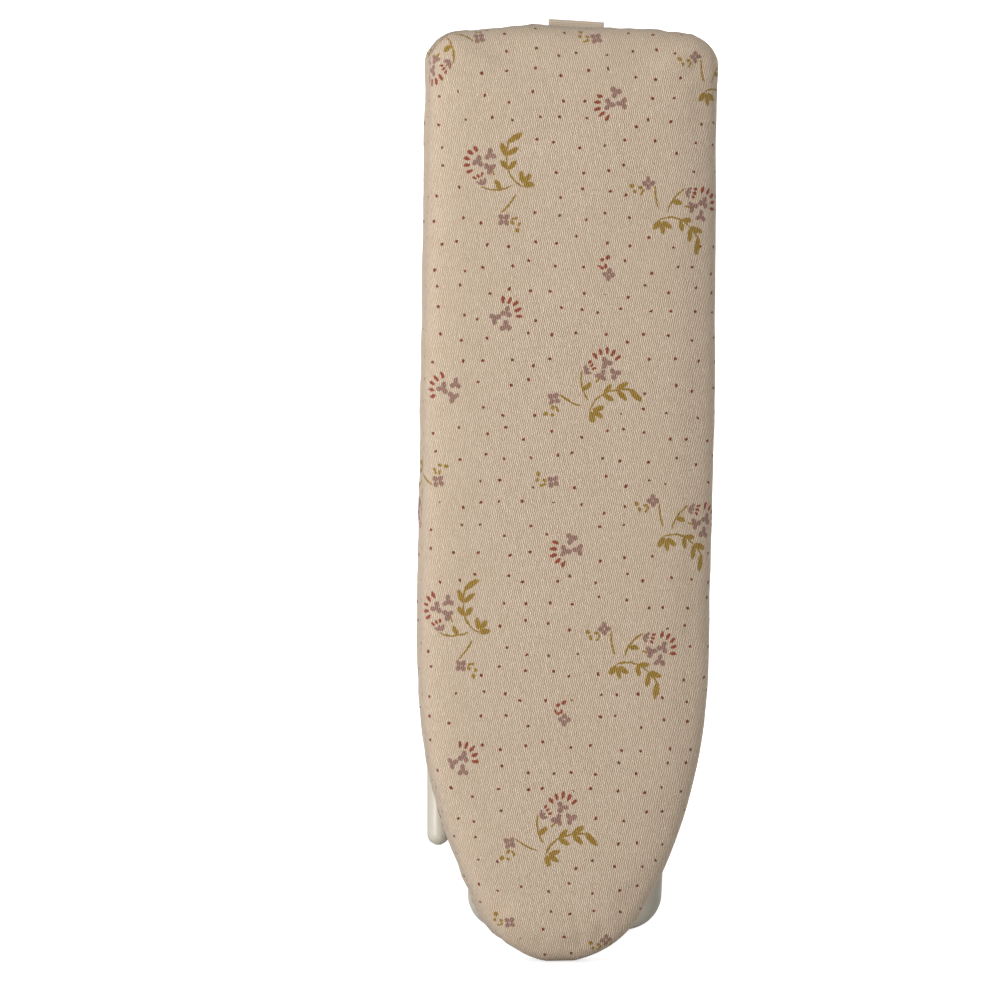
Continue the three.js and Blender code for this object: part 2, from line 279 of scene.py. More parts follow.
def edge_stations(front, back, front_edge, back_edge, last_inset):
    """(inset, depth, way along the cloth past the rim) from the rim round to the back."""
    stations = []
    steps = 6
    for angle in quarter_turn(steps):
        inset = front_edge * (1 - math.sin(angle))
        stations.append((inset, front + front_edge * (1 - math.cos(angle)), front_edge * angle))
    beyond = stations[-1][2]
    top, bottom = front + front_edge, back - back_edge
    for share in (0.33, 0.67):
        stations.append((0.0, lerp(top, bottom, share), beyond + (bottom - top) * share))
    beyond += bottom - top
    for angle in quarter_turn(steps):
        inset = back_edge * (1 - math.cos(angle))
        depth = bottom + back_edge * math.sin(angle)
        stations.append((inset, depth, beyond + back_edge * angle))
    beyond = stations[-1][2]
    for share in (0.25, 0.5, 0.75, 1.0):
        inset = lerp(back_edge, last_inset, share)
        stations.append((inset, back, beyond + inset - back_edge))
    return stations


def wrapped_surface(name, front, back, last_inset, start_inset=0.0, edge_gap=0.0):
    """The skin of the padded board as an open shell, with its cloth's flat coordinates."""
    front_steps = 16
    rim, rim_normals = outline(FRONT_EDGE + start_inset)
    rings = front_rings(rim, front, CROWN, front_steps)
    flats = [ring[:, [0, 2]] for ring in rings]
    edges = FRONT_EDGE - edge_gap, BACK_EDGE - edge_gap
    for inset, depth, beyond in edge_stations(front, back, *edges, last_inset - start_inset):
        points, _ = outline(inset + start_inset)
        rings.append(np.column_stack([points[:, 0], np.full(len(points), depth), points[:, 1]]))
        flats.append(rim + rim_normals * beyond)
    count = len(rim)
    faces = []
    for i in range(len(rings) - 1):
        faces += ring_faces(count, i * count, (i + 1) * count)
    piece = new_object(name, np.vstack(rings), faces)
    mark_cloth(piece, np.vstack(flats))
    tidy_mesh(piece)
    face = min(piece.data.polygons, key=lambda p: p.center.y)
    if face.normal.y > 0:
        piece.data.flip_normals()
    return piece


def points_of(mesh):
    values = np.zeros(len(mesh.vertices) * 3)
    mesh.vertices.foreach_get("co", values)
    return values.reshape(-1, 3)


def set_points(mesh, values):
    mesh.vertices.foreach_set("co", np.asarray(values).ravel())
    mesh.update()


def swell(piece, cap):
    """Lets the cover's cloth settle under pressure from the foam, held at its hem.

    The simulation runs on a copy ten times as large, where cloth solves better.
    """
    enlarged = 10
    mesh = piece.data.copy()
    mesh.transform(Matrix.Scale(enlarged, 4))
    big = linked("swelling", mesh)
    start = points_of(mesh)
    depth = start[:, 1] / enlarged / MM
    held = big.vertex_groups.new(name="held")
    for i in np.flatnonzero(depth > COVER_BACK - BACK_EDGE):
        held.add([int(i)], 1.0, "REPLACE")
    cloth = big.modifiers.new("cloth", "CLOTH")
    settings = cloth.settings
    settings.quality = 6
    settings.mass = 0.3
    settings.tension_stiffness = 30
    settings.compression_stiffness = 30
    settings.shear_stiffness = 8
    settings.bending_stiffness = 0.4
    settings.shrink_min = -0.008
    settings.vertex_group_mass = "held"
    settings.use_pressure = True
    settings.uniform_pressure_force = 2.5
    settings.effector_weights.gravity = 0
    cloth.collision_settings.use_collision = False
    steps = 20
    scene = bpy.context.scene
    for step in range(1, steps + 1):
        scene.frame_set(step)
    moved = points_of(big.evaluated_get(bpy.context.evaluated_depsgraph_get()).data) - start
    scene.frame_set(1)
    bpy.data.objects.remove(big)
    moved /= enlarged
    far = np.linalg.norm(moved, axis=1, keepdims=True)
    limit = cap * MM
    moved *= limit * np.tanh(far / limit) / np.maximum(far, 1e-9)
    set_points(piece.data, points_of(piece.data) + moved)


# Where the padding is fuller at the edge, as (x, z, reach, bulge).
FULLER = [(27.0, 96.0, 42.0, 0.7), (21.0, 24.0, 20.0, 0.75), (15.0, 169.0, 10.0, 0.4),
          (-7.5, 169.0, 6.0, 0.6)]
# How far in from the right side the padding falls away, and how much.
SHOULDER = (5.0, 0.55)


def ripple(piece):
    """Faint unevenness of hand-filled padding, and puckers that run in from the elastic hem."""
    broad_height, fine_height, pucker_height = 0.16, 0.12, 0.35
    fade = 4.0  # depth over which the fine and puckered parts come in
    width, drop = SHOULDER
    normals = np.array([v.normal for v in piece.data.vertices])
    points = points_of(piece.data)
    shifts = np.zeros(len(points))
    for i, point in enumerate(points / MM):
        x, depth, z = point
        round_edge = max(0.0, min(1.0, (depth - COVER_FRONT) / fade))
        broad = noise.noise(Vector((x / 14, depth / 9, z / 14)))
        fine = noise.noise(Vector((x / 5, depth / 12, z / 5)) + Vector((7, 3, 1)))
        pucker = noise.noise(Vector((x / 1.6, depth / 14, z / 1.6)))
        near_hem = max(0.0, min(1.0, (depth - COVER_BACK + fade) / fade))
        full = sum(bulge * math.exp(-((x - at_x) ** 2 + (z - at_z) ** 2) / reach**2)
                   for at_x, at_z, reach, bulge in FULLER)
        shifts[i] = broad_height * broad + fine_height * round_edge * fine
        shifts[i] += pucker_height * near_hem * pucker
        shifts[i] += full * (1 - abs(normals[i][1]))
        shifts[i] += drop * min(0.0, normals[i][1]) * math.exp(-((HALF_WIDTH - x) / width)**2)
    points += normals * shifts[:, None] * MM
    # The nose rests on the floor and flattens there without a crease.
    soft = 0.25 * MM
    points[:, 2] = soft * np.logaddexp(0, points[:, 2] / soft)
    set_points(piece.data, points)


def make_cover():
    piece = wrapped_surface("padded_cover", COVER_FRONT, COVER_BACK, HEM_INSET)
    swell(piece, cap=0.5)
    ripple(piece)
    thicken(piece, CLOTH, -1)
    piece.data.shade_smooth()
    return piece


def make_foam():
    """The foam under the cover: the same crown, its back flat on the panel."""
    gap, inset, edge_gap, back_inset = 0.3, 1.6, 1.4, 12.0
    front = FOAM_FRONT + gap
    piece = wrapped_surface("foam_filling", front, FOAM_BACK, back_inset, inset, edge_gap)
    with editing(piece) as mesh:
        rim = [edge for edge in mesh.edges if edge.is_boundary]
        bmesh.ops.holes_fill(mesh, edges=rim)
    return piece


def resampled(points, step):
    """A closed line of points at even distances near step."""
    closed = np.vstack([points, points[:1]])
    lengths = np.linalg.norm(np.diff(closed, axis=0), axis=1)
    along = np.concatenate([[0], np.cumsum(lengths)])
    count = round(along[-1] / step)
    wanted = np.arange(count) * along[-1] / count
    return np.column_stack([np.interp(wanted, along, closed[:, k]) for k in range(2)])


def make_hem():
    """The elastic inside its narrow casing, gathered all the way round."""
    gather, points_each = 1.7, 5
    radius, fold_share, wander_share = 0.66, 0.13, 0.08
    points = resampled(outline(ELASTIC_INSET)[0], gather / points_each)
    depth = centre("hem_elastic").y
    path = [(x, depth, z) for x, z in points]
    radii = []
    for i in range(len(points)):
        wander = noise.noise(Vector((points[i][0] / 4, points[i][1] / 4, 5)))
        fold = math.sin(2 * math.pi * (i / points_each + 0.5 * wander))
        radii.append(lambda angle, fold=fold, wander=wander: radius * (
            1 + fold_share * fold + wander_share * wander * math.cos(3 * angle)))
    return tube("gathered_hem", path, radii, Vector((0, 1, 0)), sides=14, closed=True)


def make_stitches():
    """The run of small stitches that closes the hem's casing."""
    pitch, length, radius = 2.0, 1.3, 0.14
    from_hem = 1.3
    sunk, arch = 0.1, 0.12  # height of a stitch's ends, and of its middle above them
    line = resampled(outline(HEM_INSET - from_hem)[0], pitch)
    vertices, faces = [], []
    rounds, sides = 6, 6
    for i, (x, z) in enumerate(line):
        ahead = line[(i + 1) % len(line)] - line[i - 1]
        along = Vector((ahead[0], 0, ahead[1])).normalized()
        across = along.cross(Vector((0, 1, 0)))
        base = len(vertices)
        for r in range(rounds + 1):
            angle = math.pi * r / rounds
            size = radius * max(math.sin(angle), 0.15)
            lift = sunk + arch * math.sin(angle)
            middle = Vector((x, COVER_BACK + lift, z)) - along * (length / 2 * math.cos(angle))
            for k in range(sides):
                turn = 2 * math.pi * k / sides
                vertices.append(middle + size * (
                    math.cos(turn) * across + math.sin(turn) * Vector((0, 1, 0))))
        for r in range(rounds):
            faces += ring_faces(sides, base + r * sides, base + (r + 1) * sides)
        faces.append(tuple(base + k for k in range(sides)))
        faces.append(tuple(base + rounds * sides + k for k in range(sides)))
    piece = new_object("hem_stitches", vertices, faces)
    with editing(piece) as mesh:
        bmesh.ops.recalc_face_normals(mesh, faces=mesh.faces)
    return piece


def make_tag():
    """A short ribbon folded over on itself behind the board's square end, and its length."""
    low, high = (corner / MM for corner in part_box("ribbon_tag"))
    middle = (low + high) / 2
    cloth, inner = 0.28, 0.2
    fold = inner + cloth / 2
    top = high.z - fold - cloth / 2
    rows, turns, columns = 14, 8, 30
    profile = [(fold, lerp(low.z, top, i / rows)) for i in range(rows + 1)]
    for i in range(1, turns):
        angle = math.pi * i / turns
        profile.append((fold * math.cos(angle), top + fold * math.sin(angle)))
    profile += [(-fold, lerp(top, low.z, i / rows)) for i in range(rows + 1)]
    half = RIBBON_WIDTH / 2
    sag, tilt, wave_height = 0.5, 0.045, 0.05
    vertices, faces, flat = [], [], []
    way = 0.0
    for j, (depth, z) in enumerate(profile):
        if j:
            way += math.dist(profile[j - 1], profile[j])
        for i in range(columns + 1):
            x = lerp(-half, half, i / columns)
            up = (z - low.z) / (high.z - low.z)
            lean = up * (sag + tilt * x)
            wave = wave_height * noise.noise(Vector((x / 2.5, z / 3, 2)))
            vertices.append((x + RIBBON_SHIFT, middle.y + depth + wave, z - lean))
            flat.append((x, way))
    width = columns + 1
    for j in range(len(profile) - 1):
        for i in range(columns):
            a = j * width + i
            faces.append((a, a + 1, a + width + 1, a + width))
    piece = new_object("folded_ribbon", vertices, faces)
    mark_cloth(piece, flat)
    thicken(piece, cloth, 0)
    return piece, way


# ---- Legs and steel parts ----

def leg_path():
    """Half of the U-shaped frame's centre line, from the open end to the foot bar, and its radii."""
    start = -(TO_HINGE + PAST_HINGE)
    rise = [0.0, 0.12, 0.3, 0.55, 0.85, 1.25, 1.8]
    points = [(LEG_HALF, start + h) for h in rise]
    straight = 30
    bend_z = TO_FOOT - BEND_RADIUS
    for i in range(1, straight):
        points.append((LEG_HALF, lerp(start + rise[-1], bend_z, i / straight)))
    for angle in quarter_turn(18):
        points.append((LEG_HALF - BEND_RADIUS * (1 - math.cos(angle)),
                       bend_z + BEND_RADIUS * math.sin(angle)))
    tip, dome = 0.3, rise[-1]
    radii = [ROD * max(tip, math.sqrt(1 - (1 - h / dome) ** 2)) for h in rise]
    radii += [ROD] * (len(points) - len(radii))
    return points, radii


def make_leg(name, node, angle):
    """One bent-rod frame, turned by angle about the crossing pivot's axis."""
    points, radii = leg_path()
    path = [(x, 0, z) for x, z in points] + [(-x, 0, z) for x, z in reversed(points)]
    piece = tube(name, path, radii + radii[::-1], Vector((0, 1, 0)), sides=40)
    where = Vector((centre(node).x, crossing.y, crossing.z))
    return place(piece, where, Matrix.Rotation(angle, 4, "X"))


def domed(radius, base, rise):
    """Profile points of a dome from its rim at base up to its top."""
    angles = quarter_turn(8)[:-1]
    points = [(radius * math.cos(angle), base + rise * math.sin(angle)) for angle in angles]
    return points + [(0.0, base + rise)]


def mirrored(half_profile):
    """A whole profile from the half above the middle."""
    return [(radius, -height) for radius, height in reversed(half_profile)] + half_profile


def lay_along_x(piece, node, sharp):
    """Lays a turned piece along X in its node's place, its edges past an angle kept sharp."""
    place(piece, centre(node), Matrix.Rotation(math.pi / 2, 4, "Z"))
    return smooth_by_angle(piece, sharp)


def half_length(node):
    low, high = span(node, 0)
    return (high - low) / 2


def make_rivet(name, node):
    """A shank with two domed heads, lying along X."""
    half = half_length(node)
    head, rise, shank, undercut = 1.9, 0.8, 0.9, 0.02
    under = half - rise
    profile = [(shank, under - undercut), (head * 0.97, under), *domed(head, under, rise)]
    return lay_along_x(lathe(name, mirrored(profile)), node, 50)


def make_spacer(name, node):
    """A sleeve round the rivet that keeps the two frames apart."""
    half = half_length(node)
    outer, inner, ease = 2.2, 1.2, 0.2
    profile = [(inner, -half), (outer - ease, -half), (outer, -half + ease),
               (outer, half - ease), (outer - ease, half), (inner, half), (inner, -half)]
    return lay_along_x(lathe(name, profile), node, 30)


def make_pin(name, node):
    """A round pin along X, with eased ends."""
    half, radius, ease = half_length(node), 0.9, 0.25
    profile = [(radius, half - ease), (radius - ease, half), (0.0, half)]
    return lay_along_x(lathe(name, mirrored(profile)), node, 30)


def make_screw(name, node):
    """A pan-head screw with a cross recess, its head towards +Y."""
    low, high = (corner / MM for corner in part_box(node))
    radius = (high.x - low.x) / 2
    middle = (low + high) / 2
    rise, rim, shank, length = 0.9, 0.225, 0.7, high.y - low.y
    tip = rise - length
    point = 1.3
    turns, thread_height, thread_half = 7, 0.16, 0.14
    profile = [(0.0, tip), (shank * 0.3, tip + 0.3), (shank, tip + point)]
    for i in range(turns):
        height = lerp(tip + point + 0.1, -0.35, i / (turns - 1))
        profile += [(shank, height - thread_half), (shank + thread_height, height),
                    (shank, height + thread_half)]
    profile += [(shank, 0.0), (radius - 0.1, 0.0), (radius, 0.08)]
    profile += domed(radius, rim, rise - rim)
    piece = lathe(name, profile, sides=32)
    cutter = cross_cutter(reach=0.85, half_width=0.2, depth=0.5, top=rise)
    slot = piece.modifiers.new("slot", "BOOLEAN")
    slot.object = cutter
    slot.solver = "EXACT"
    apply_modifiers(piece)
    bpy.data.objects.remove(cutter)
    turn = noise.noise(middle) * 3
    place(piece, (middle.x, high.y - rise, middle.z), Matrix.Rotation(turn, 4, "Y"))
    return smooth_by_angle(piece, 35)


def cross_cutter(reach, half_width, depth, top):
    """A four-armed recess that narrows downwards."""
    narrowing, past_top = 0.45, 0.3
    mesh = bmesh.new()
    for long_x, long_z in ((reach, half_width), (half_width, reach)):
        made = bmesh.ops.create_cube(mesh, size=2)["verts"]
        for vertex in made:
            narrow = 1.0 if vertex.co.y > 0 else narrowing
            height = top + past_top if vertex.co.y > 0 else top - depth
            vertex.co = Vector((vertex.co.x * long_x * narrow, height,
                                vertex.co.z * long_z * narrow)) * MM
    data = bpy.data.meshes.new("cross")
    mesh.to_mesh(data)
    mesh.free()
    return linked("cross", data)


def refined(name, node, ease):
    """A copy of a CAD part with eased edges and smooth round faces."""
    piece = linked(name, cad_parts[node].data.copy())
    piece.data.materials.clear()
    doubled, coplanar = 0.005, math.radians(1)
    with editing(piece) as mesh:
        bmesh.ops.remove_doubles(mesh, verts=mesh.verts, dist=doubled * MM)
        bmesh.ops.dissolve_limit(mesh, angle_limit=coplanar, verts=mesh.verts, edges=mesh.edges)
    bevel = piece.modifiers.new("ease", "BEVEL")
    bevel.width = ease * MM
    bevel.segments = 3
    bevel.limit_method = "ANGLE"
    bevel.angle_limit = math.radians(40)
    bevel.harden_normals = False
    apply_modifiers(piece)
    return smooth_by_angle(piece, 35)


# ---- Materials ----

def srgb(red, green, blue):
    """A linear colour from 0 to 255 screen values."""
    def linear(value):
        share = value / 255
        return share / 12.92 if share <= 0.04045 else ((share + 0.055) / 1.055) ** 2.4
    return (linear(red), linear(green), linear(blue), 1.0)


class Graph:
    """Puts one node material together."""

    def __init__(self, name, roughness, **constants):
        self.material = bpy.data.materials.new(name)
        self.material.use_nodes = True
        self.tree = self.material.node_tree
        self.shader = self.tree.nodes["Principled BSDF"]
        self.shader.inputs["Roughness"].default_value = roughness
        for key, value in constants.items():
            self.shader.inputs[key.replace("_", " ")].default_value = value

    def feed(self, socket, value):
        if isinstance(value, bpy.types.NodeSocket):
            self.tree.links.new(value, socket)
        else:
            socket.default_value = value

    def node(self, kind, inputs, **settings):
        made = self.tree.nodes.new("ShaderNode" + kind)
        for key, value in settings.items():
            setattr(made, key, value)
        for key, value in inputs.items():
            self.feed(made.inputs[key], value)
        return made

    def math(self, operation, a, b=0.0, c=0.0):
        return self.node("Math", {0: a, 1: b, 2: c}, operation=operation).outputs[0]

    def vector(self, operation, a, b=(0.0, 0.0, 0.0)):
        made = self.node("VectorMath", {0: a, 1: b}, operation=operation)
        scalar = operation in ("DOT_PRODUCT", "LENGTH")
        return made.outputs["Value" if scalar else "Vector"]

    def mix(self, share, a, b):
        return self.node("Mix", {0: share, 6: a, 7: b}, data_type="RGBA").outputs[2]

    def pick(self, share, a, b):
        return self.node("Mix", {0: share, 4: a, 5: b}, data_type="VECTOR").outputs[1]

    def shift(self, value, low, high, to_low, to_high):
        inputs = {0: value, 1: low, 2: high, 3: to_low, 4: to_high}
        return self.node("MapRange", inputs).outputs[0]

    def total(self, *parts):
        """The sum of values, each times its share."""
        value, share = parts[0]
        whole = self.math("MULTIPLY", value, share)
        for value, share in parts[1:]:
            whole = self.math("MULTIPLY_ADD", value, share, whole)
        return whole

    def noise(self, place, scale, detail=2.0, roughness=0.5):
        made = self.node("TexNoise", {"Vector": place, "Scale": scale, "Detail": detail,
                                      "Roughness": roughness})
        return made.outputs["Fac"]

    def cells(self, place, scale, randomness=1.0, dimensions="3D", output="Distance"):
        made = self.node("TexVoronoi", {"Vector": place, "Scale": scale, "Randomness": randomness},
                         voronoi_dimensions=dimensions)
        return made.outputs[output]

    def stretched(self, place, scales, turn=0.0):
        """A place turned about Y, in degrees, and scaled, for a texture that is drawn out."""
        made = self.node("Mapping", {
            "Vector": place, "Rotation": (0, math.radians(turn), 0), "Scale": scales})
        return made.outputs[0]

    def local(self, place, x, z, turn, length=2.0, width=2.0):
        """A place as seen from (x, z), turned, in halves of a length and a width."""
        made = self.node("Mapping", {
            "Vector": place, "Location": (x, z, 0), "Rotation": (0, 0, math.radians(turn)),
            "Scale": (length / 2, width / 2, 1)}, vector_type="TEXTURE")
        return made.outputs[0]

    def wave(self, value):
        """Turns a running number into a smooth 0 to 1 wave, one for each whole number."""
        around = self.math("MULTIPLY", value, 2 * math.pi)
        return self.math("MULTIPLY_ADD", self.math("COSINE", around), 0.5, 0.5)

    def object_place(self):
        """Position on the piece, in millimetres."""
        where = self.node("TexCoord", {}).outputs["Object"]
        return self.vector("MULTIPLY", where, (1 / MM,) * 3)

    def cloth_place(self):
        """Position on the flat cloth, in millimetres."""
        return self.node("Attribute", {}, attribute_name="cloth").outputs["Vector"]

    def finish(self, colour, height=None, bump=0.05, roughness=None):
        self.feed(self.shader.inputs["Base Color"], colour)
        if height is not None:
            made = self.node("Bump", {"Height": height, "Distance": bump * MM, "Strength": 1.0})
            self.feed(self.shader.inputs["Normal"], made.outputs[0])
        if roughness is not None:
            self.feed(self.shader.inputs["Roughness"], roughness)
        return self.material


# The print's motifs lie round an origin of their own, in millimetres. A shape's value is 1 on
# its edge and less inside, so shapes join by taking the lowest.

def ellipse(graph, where, x, z, length, width, turn=0.0):
    return graph.vector("LENGTH", graph.local(where, x, z, turn, length, width))


def lowest(graph, values):
    best = values[0]
    for value in values[1:]:
        best = graph.math("MINIMUM", best, value)
    return best


def stem(graph, where, x, z, length, turn, bend):
    """A thin stroke that curves to its left for a positive bend."""
    width = 0.36
    stroke = graph.local(where, x, z, turn, length, length)
    along, aside = graph.node("SeparateXYZ", {0: stroke}).outputs[:2]
    curve = graph.math("MULTIPLY", graph.math("MULTIPLY", along, along), bend)
    aside = graph.math("SUBTRACT", aside, curve)
    thin = graph.math("MULTIPLY", aside, length / width)
    # The high power keeps the stroke even in width until it ends.
    ends = graph.math("POWER", graph.math("ABSOLUTE", along), 6.0)
    return graph.math("SQRT", graph.math("ADD", ends, graph.math("MULTIPLY", thin, thin)))


def petals(graph, where, x, z, count, first, reach, length, width):
    """Petals in a ring round a point."""
    shapes = []
    for i in range(count):
        turn = first + 360 / count * i
        angle = math.radians(turn)
        shapes.append(ellipse(graph, where, x + reach * math.cos(angle),
                              z + reach * math.sin(angle), length, width, turn))
    return shapes


def blossom_head(graph, where):
    """Three three-petalled blossoms, and a fan of dashes beyond them."""
    mauve = []
    for x, z, first in ((-1.2, 0.0, 80), (1.0, 1.25, 95), (0.9, -1.15, -95)):
        mauve += petals(graph, where, x, z, 3, first, reach=0.6, length=1.2, width=0.94)
    red = []
    fan_x, fan_z = -1.0, -0.05
    dashes, first, step, opening = 5, 108, 29, 8
    reach, stagger = 2.45, 0.1
    for i in range(dashes):
        turn = first + step * i
        angle = math.radians(turn)
        out = reach - stagger * (i % 2)
        red.append(ellipse(graph, where, fan_x + out * math.cos(angle),
                           fan_z + out * math.sin(angle), length=1.35, width=0.66,
                           turn=turn + opening * (dashes // 2 - i)))
    return mauve, red


def leafy_stem(graph, where):
    """Curved stems with paired leaves, a lobed leaf at the right and a bud at the left."""
    # Stems are (x, z, length, turn, bend), and leaves are (x, z, length, width, turn).
    stems = [
        (1.35, 1.6, 6.6, 118, -0.34), (-1.0, -1.25, 5.6, 183, -0.22),
        (1.35, -3.85, 4.4, 232, -0.1), (-1.75, 2.0, 1.9, 122, 0.0),
        (0.8, 6.0, 2.6, 84, -0.12),
    ]
    leaves = [
        (1.8, 3.15, 2.1, 0.98, 52), (0.35, 3.2, 2.1, 0.98, 132),
        (1.8, 5.6, 2.6, 1.02, 36), (0.2, 5.9, 2.6, 1.02, 114),
        (2.2, 8.05, 3.2, 1.12, 34),
        (-0.75, -0.35, 2.0, 0.95, 122),
        (3.5, 1.05, 2.2, 0.98, 98), (4.5, 0.8, 2.2, 0.95, 52), (4.8, -0.35, 2.1, 1.1, 4),
    ]
    ochre = [stem(graph, where, *line) for line in stems]
    ochre += [ellipse(graph, where, *leaf) for leaf in leaves]
    mauve = [ellipse(graph, where, -4.1 + 0.5 * i, -0.15 + 0.2 * i, 1.25, 0.6, 160 - 36 * i)
             for i in range(3)]
    red = [ellipse(graph, where, -5.0 + 0.66 * i, 0.8 + 0.3 * i, 0.85, 0.5, 145 - 28 * i)
           for i in range(3)]
    return mauve, red, ochre


def small_flower(graph, where):
    """Four round petals and a spray of berries."""
    mauve = petals(graph, where, 0, 0, count=4, first=45, reach=0.68, length=1.1, width=0.92)
    berries = [(1.62, 0.2, 0.7, 0.5, 35), (2.2, 0.36, 0.7, 0.5, 10),
               (1.55, -0.5, 0.85, 0.6, -40), (2.8, -0.75, 0.8, 0.62, 70),
               (2.45, -1.85, 0.95, 0.75, 100)]
    return mauve, [ellipse(graph, where, *berry) for berry in berries]


# Where the motifs stand on the cloth within one repeat, as (x, z, turn in degrees).
REPEAT = (6.7, 80.0)
SPRIGS = [(-13.0, 140.6, 0), (3.3, 103.7, -80), (18.5, 136.8, -132), (20.3, 79.9, -132),
          (-30.5, 85.5, 100)]
LOOSE_HEADS = [(7.0, 155.5, 35), (-12.5, 116.5, 238), (-22.3, 103.5, -10)]
LOOSE_FLOWERS = [(-3.0, 87.3, 190)]
RED_FLOWERS = [(6.4, 124.5, 130)]
HEAD_AT = (-3.2, 3.7)
FLOWER_AT = (0.4, -6.6)


def turned(x, z, turn, part):
    """Where a sprig's part lies on the cloth."""
    angle = math.radians(turn)
    return (x + part[0] * math.cos(angle) - part[1] * math.sin(angle),
            z + part[0] * math.sin(angle) + part[1] * math.cos(angle), turn)


def repeated(spots, reach):
    """The spots within one repeat, and again past its ends where a motif crosses them."""
    step_x, step_z = REPEAT
    found = []
    for x, z, turn in spots:
        row = math.floor(z / step_z)
        x, z = x - row * step_x, z - row * step_z
        for k in (-1, 0, 1):
            if -reach < z + k * step_z < step_z + reach:
                found.append((x + k * step_x, z + k * step_z, turn))
    return found


def nearest(graph, where, spots):
    """Position round the nearest spot, turned with it, and the distance to that spot."""
    chosen, *others = [graph.local(where, *spot) for spot in spots]
    best = graph.vector("LENGTH", chosen)
    for local in others:
        distance = graph.vector("LENGTH", local)
        closer = graph.math("LESS_THAN", distance, best)
        chosen = graph.pick(closer, chosen, local)
        best = graph.math("MINIMUM", best, distance)
    return chosen, best


def twill(graph, where):
    """Steep ridges that fall to the right, broken into short stitches.

    Gives their height, from 0 to 1, and a chance value for each stitch.
    """
    pitch, angle = 0.354, math.radians(76.5)
    stitch, stitch_angle = 0.48, math.radians(52.0)
    wander, dip = 1.1, 0.35
    uneven = graph.noise(where, 1.1)
    across = graph.vector("DOT_PRODUCT", where,
                          (math.sin(angle) / pitch, math.cos(angle) / pitch, 0.0))
    across = graph.math("MULTIPLY_ADD", uneven, wander, across)
    along = graph.vector("DOT_PRODUCT", where,
                         (math.cos(stitch_angle) / stitch, -math.sin(stitch_angle) / stitch, 0.0))
    # Rounding gives each stitch the whole numbers of its own ridge and of its place on it.
    numbers = graph.node("CombineXYZ", {0: graph.math("ROUND", across),
                                        1: graph.math("ROUND", along)}).outputs[0]
    chance = graph.node("TexWhiteNoise", {"Vector": numbers}, noise_dimensions="2D")
    ridge = graph.wave(across)
    step = graph.math("MULTIPLY_ADD", graph.wave(along), dip, 1 - dip)
    return graph.math("MULTIPLY", ridge, step), chance.outputs["Value"]


def repeat_place(graph, where):
    """The cloth position folded back into one repeat of the print."""
    step_x, step_z = REPEAT
    z = graph.node("SeparateXYZ", {0: where}).outputs[1]
    row = graph.math("FLOOR", graph.math("DIVIDE", z, step_z))
    back = graph.node("CombineXYZ", {0: graph.math("MULTIPLY", row, step_x),
                                     1: graph.math("MULTIPLY", row, step_z)})
    return graph.vector("SUBTRACT", where, back.outputs[0])


def cotton_ground(graph, weave, where):
    """Undyed cotton with painted shade between its ridges and a painted highlight on them, with
    paler yarns and faint stains.
    """
    slub = graph.noise(graph.stretched(where, (2.3, 0.5, 1)), 1.0, 1.0)
    blotch = graph.noise(where, 0.16, 3.0, 0.6)
    # Painted shade and highlight: the cotton darkens in the weave's valleys and lightens on its
    # ridges, with random tone from the fibre and stitch noise.
    cotton = graph.mix(weave, srgb(156, 122, 90), srgb(243, 229, 209))
    cotton = graph.mix(graph.shift(slub, 0.3, 0.7, 0.0, 0.12), cotton, srgb(216, 197, 170))
    return graph.mix(graph.shift(blotch, 0.35, 0.65, 0.0, 0.1), cotton, srgb(190, 162, 131))


def scattered_dots(graph, where, taken):
    """Small dots at uneven places, except where taken is below 1."""
    spacing, radius, far_away = 4.3, 0.29, 9.0
    cells = graph.cells(where, 1 / spacing, 0.55, "2D")
    dots = graph.math("MULTIPLY", cells, spacing / radius)
    hidden = graph.math("MULTIPLY", graph.math("LESS_THAN", taken, 1.0), far_away)
    return graph.math("ADD", dots, hidden)


def print_layers(graph, where):
    """The print's shapes with their inks, the lowest layer first."""
    jag = graph.node("TexNoise", {"Vector": where, "Scale": 2.1, "Detail": 1.0}).outputs["Color"]
    jag = graph.vector("MULTIPLY", graph.vector("SUBTRACT", jag, (0.5,) * 3), (0.5, 0.5, 0.0))
    # Noise makes the shapes' edges ragged, as ink on yarns is.
    ragged = graph.vector("ADD", where, jag)
    inked = repeat_place(graph, ragged)
    heads = repeated([turned(*spot, HEAD_AT) for spot in SPRIGS] + LOOSE_HEADS, 5)
    flowers = repeated([turned(*spot, FLOWER_AT) for spot in SPRIGS] + LOOSE_FLOWERS, 5)
    at_head, head_far = nearest(graph, inked, heads)
    at_stem, stem_far = nearest(graph, inked, repeated(SPRIGS, 9))
    at_flower, flower_far = nearest(graph, inked, flowers)
    at_red, red_far = nearest(graph, inked, repeated(RED_FLOWERS, 5))
    head_mauve, head_red = blossom_head(graph, at_head)
    stem_mauve, stem_red, stem_ochre = leafy_stem(graph, at_stem)
    flower_mauve, flower_ochre = small_flower(graph, at_flower)
    red_petals, red_berries = small_flower(graph, at_red)

    clearances = ((head_far, 4.4), (stem_far, 7.0), (flower_far, 3.6), (red_far, 3.6))
    taken = lowest(graph, [graph.math("DIVIDE", far, room) for far, room in clearances])
    mauve = head_mauve + stem_mauve + flower_mauve + red_petals
    return [
        (scattered_dots(graph, ragged, taken), srgb(110, 34, 14)),
        (lowest(graph, stem_ochre + flower_ochre), srgb(145, 113, 32)),
        (lowest(graph, mauve), srgb(142, 107, 97)),
        (lowest(graph, head_red + stem_red + red_berries), srgb(138, 56, 32)),
    ]


def scaled(ink, share):
    return tuple(min(share * value, 1.0) for value in ink[:3]) + (1.0,)


